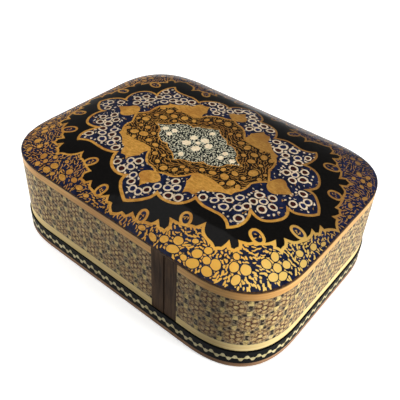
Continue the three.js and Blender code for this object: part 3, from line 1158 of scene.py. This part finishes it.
def rim_line(inset):
    """The outline at an inset, with points along its straight sides too."""
    ring = closed(whole_path(inset))
    line = []
    for a, b in zip(ring, ring[1:]):
        count = max(1, round(np.linalg.norm(b - a) / RIM_STEP))
        line += [a + (b - a) * k / count for k in range(count)]
    return np.array(line)


GRID_STEP = 1.6
SLOPE_STEP = 0.02
RIM_SPREAD = 0.35
BAKE_SPAN = 121
BAKE_MIDDLE = (0.5, 0.38)
UNDERSIDE_SCALE = 0.2
UNDERSIDE_AT = (0, 57)


def cut_plan(outline):
    """Flat points and triangles of the painted face, cut along all shapes, and their centres."""
    count = len(outline)
    columns, rows = np.arange(-56, 57, GRID_STEP), np.arange(-41.6, 42, GRID_STEP)
    grid = np.stack(np.meshgrid(columns, rows), -1).reshape(-1, 2)
    grid = grid + rng.uniform(-0.05, 0.05, grid.shape)
    grid = grid[side_gauge(*grid.T, RIM_INSET + 0.5) < 0]
    rings = [outline * s for s in (0.995, 0.985, 0.97, 0.95)]
    flat = np.vstack([outline, painting.points, grid, *rings])
    edges = [(i, (i + 1) % count) for i in range(count)]
    edges += [(a + count, b + count) for a, b in painting.edges]
    found = delaunay_2d_cdt([Vector(p) for p in flat], edges, [], 0, 1e-4, False)
    plan = np.array([tuple(v) for v in found[0]])
    triangles = np.array([list(f) for f in found[2]])
    corners = plan[triangles]
    area = np.cross(corners[:, 1] - corners[:, 0], corners[:, 2] - corners[:, 0]) / 2
    triangles[area < 0] = triangles[area < 0][:, ::-1]
    centres = corners.mean(1)
    kept = inside(outline, centres) & (np.abs(area) > 1e-7)
    used, triangles = np.unique(triangles[kept], return_inverse=True)
    return plan[used], triangles.reshape(-1, 3), centres[kept]


def paint_at(centres):
    """The number of the last paint over each point."""
    paint = np.zeros(len(centres), int)
    order = np.argsort(centres[:, 0])
    sorted_x = centres[order, 0]
    clips = {}
    for shape, name, within in painting.shapes:
        low, high = shape.min(0), shape.max(0)
        first, last = np.searchsorted(sorted_x, (low[0], high[0]))
        near = order[first:last]
        near = near[(centres[near, 1] >= low[1]) & (centres[near, 1] <= high[1])]
        if within is not None:
            if id(within) not in clips:
                clips[id(within)] = inside(within, centres)
            near = near[clips[id(within)][near]]
        paint[near[inside(shape, centres[near])]] = PAINT_NUMBER[name]
    return paint


def open_edge(triangles):
    """The points along the open edge of some triangles, in order round it."""
    pairs = np.vstack([triangles[:, [0, 1]], triangles[:, [1, 2]], triangles[:, [2, 0]]])
    known = {tuple(pair) for pair in pairs.tolist()}
    after = {a: b for a, b in known if (b, a) not in known}
    loop = [min(after)]
    while after[loop[-1]] != loop[0]:
        loop.append(after[loop[-1]])
    return np.array(loop)


def between(upper, lower):
    """Corners of the faces between two rings of the rim."""
    return np.stack([np.roll(upper, -1, 0), upper, lower, np.roll(lower, -1, 0)], 1)


def build_top():
    outline = rim_line(RIM_INSET)
    plan, triangles, centres = cut_plan(outline)
    paint = paint_at(centres).tolist()
    x, y = plan.T
    slopes = [
        (dome_height(x - dx, y - dy) - dome_height(x + dx, y + dy)) / (2 * SLOPE_STEP)
        for dx, dy in ((SLOPE_STEP, 0), (0, SLOPE_STEP))
    ]
    normals = unit(np.stack([*slopes, np.ones(len(x))], 1))

    # Each point of the open edge lies at a share of one side of the outline, and so do those
    # below it.
    loop = open_edge(triangles)
    sides = np.roll(outline, -1, 0) - outline
    away = plan[loop][:, None] - outline
    shares = np.clip((away * sides).sum(2) / (sides ** 2).sum(1), 0, 1)
    side = np.linalg.norm(away - sides * shares[:, :, None], axis=2).argmin(1)
    share = shares[np.arange(len(loop)), side][:, None]
    headings = unit(sides)
    beside = headings[np.where(share[:, 0] < 0.5, side - 1, (side + 1) % len(sides))]
    lean = np.abs(share - 0.5)
    facing = -left_of(unit(headings[side] * (1 - lean) + beside * lean))

    def tilted(angle):
        return np.insert(facing * math.cos(angle), 2, math.sin(angle), 1)

    points = np.insert(plan, 2, dome_height(x, y), 1)
    faces = triangles.tolist()
    corner_normals = [normals[triangles.ravel()]]
    map_places = [plan[triangles.ravel()]]
    levels = [
        (RIM_ROUND * (1 - math.cos(a)), RIM_Z - RIM_ROUND * (math.sin(RIM_TURN) - math.sin(a)), a)
        for a in np.linspace(RIM_TURN, 0, 6)[1:]
    ] + [(0.0, WALL_TOP, 0.0)]
    above, above_map, above_angle = loop, plan[loop], RIM_TURN
    for inset, height, angle in levels:
        line = rim_line(inset)
        place = line[side] + (np.roll(line, -1, 0) - line)[side] * share
        below, below_map = len(points) + np.arange(len(loop)), above_map + facing * RIM_SPREAD
        points = np.vstack([points, np.insert(place, 2, height, 1)])
        faces += between(above, below).tolist()
        corner_normals.append(between(tilted(above_angle), tilted(angle)).reshape(-1, 3))
        map_places.append(between(above_map, below_map).reshape(-1, 2))
        above, above_map, above_angle = below, below_map, angle
    paint += [PAINT_NUMBER["rim"]] * (len(faces) - len(paint))

    # The painted face runs anticlockwise from above, so the underside runs the other way.
    under = above[::-1]
    fan = np.stack([under, np.roll(under, -1), np.full(len(under), len(points))], 1)
    points = np.vstack([points, (0.0, 0.0, WALL_TOP)])
    faces += fan.tolist()
    corner_normals.append(np.tile((0.0, 0.0, -1.0), (fan.size, 1)))
    map_places.append(points[fan.ravel(), :2] * UNDERSIDE_SCALE + UNDERSIDE_AT)
    paint += [PAINT_NUMBER["underside"]] * len(fan)

    materials = [paint_material(f"{name}_paint", painted) for name, painted in PAINTS.items()]
    mesh = make_mesh("painted_top", points, faces, [*materials, plain_wood])
    layer = mesh.uv_layers.new(name="OFBake")
    layer.data.foreach_set("uv", (np.vstack(map_places) / BAKE_SPAN + BAKE_MIDDLE).ravel())
    mesh.polygons.foreach_set("material_index", paint)
    mesh.shade_smooth()
    mesh.normals_split_custom_set(np.vstack(corner_normals).tolist())
    mesh.update()
    add_piece("painted_top", mesh, "case", "painted_lacquer", "domed_top")


build_top()


# Floor, light and surroundings. The floor is pale all round, and the room above is dim.
WHITE = (1.0, 1.0, 1.0, 1.0)
FLOOR_HALF = 4000
FLOOR_DROP = 0.15


def build_floor():
    """The eye and mirror-like faces see the floor near white. It throws less light on the box,
    and least from far off. A little light of its own keeps it white where the lamps fall off."""
    g = new_material("floor_paint")
    spot = g.place()
    x, y, _ = g.split(spot)
    eye = g.ray("Is Camera Ray")
    seen = g.most(eye, g.ray("Is Glossy Ray"), g.ray("Is Transmission Ray"))
    pale = g.mix(g.noise(spot, 0.004, 2.0), (248, 248, 247), (252, 252, 251))
    far = g.most(g.rise(g.length(x, y), 60, 320), g.rise(x, -75, 0))
    bounce = g.mix(far, (206, 205, 203), (120, 119, 118))
    away = g.rise(g.length(x, y), 400, 1400)
    material = g.finish(
        g.mix(seen, bounce, pale), roughness=0.9, Specular_IOR_Level=0.0, Emission_Color=WHITE,
        Emission_Strength=eye * (away * 0.6 + 0.4))
    corners = [(a * FLOOR_HALF, b * FLOOR_HALF, 0) for a, b in ((-1, -1), (1, -1), (1, 1), (-1, 1))]
    floor = add_object("floor", make_mesh("floor", corners, [(0, 1, 2, 3)], [material]))
    floor.location.z = -FLOOR_DROP * MM


def area_light(name, place, aim, size, power, mirrored=False):
    lamp = bpy.data.lights.new(name, "AREA")
    lamp.shape = "RECTANGLE"
    lamp.size, lamp.size_y = size
    lamp.energy = power
    holder = add_object(name, lamp)
    holder.visible_glossy = mirrored
    holder.location = place
    holder.rotation_euler = (Vector(aim) - Vector(place)).to_track_quat("-Z", "Y").to_euler()


def build_world():
    """A dim room. The eye sees it as a white backdrop, and mirror-like faces see it pale grey."""
    world = bpy.data.worlds.new("room")
    bpy.context.scene.world = world
    g = Graph(world, "Background")
    levels = (("Is Glossy Ray", 0.1), ("Is Transmission Ray", 1.0), ("Is Camera Ray", 1.0))
    strength = g.most(0.03, *(g.ray(kind) * level for kind, level in levels))
    g.feed(g.shader.inputs["Color"], WHITE)
    g.feed(g.shader.inputs["Strength"], strength)


build_floor()
area_light("key", (1.55, 0.4, 0.36), (0, 0, 0.02), (0.6, 0.4), 39)
area_light("top", (0.0, 0.0, 1.2), (0, 0, 0), (1.0, 1.0), 6.4)
area_light("overhead", (0.0, -0.25, 1.3), (0, 0, 0), (1.8, 1.8), 4.6, mirrored=True)
area_light("left", (-0.94, 0.17, 0.55), (0, 0, 0.02), (0.6, 0.22), 0.7)
area_light("left_near", (-0.24, -0.11, 0.06), (-0.05, -0.03, 0.02), (0.14, 0.1), 0.5)
build_world()
bpy.context.scene.view_settings.view_transform = "Standard"
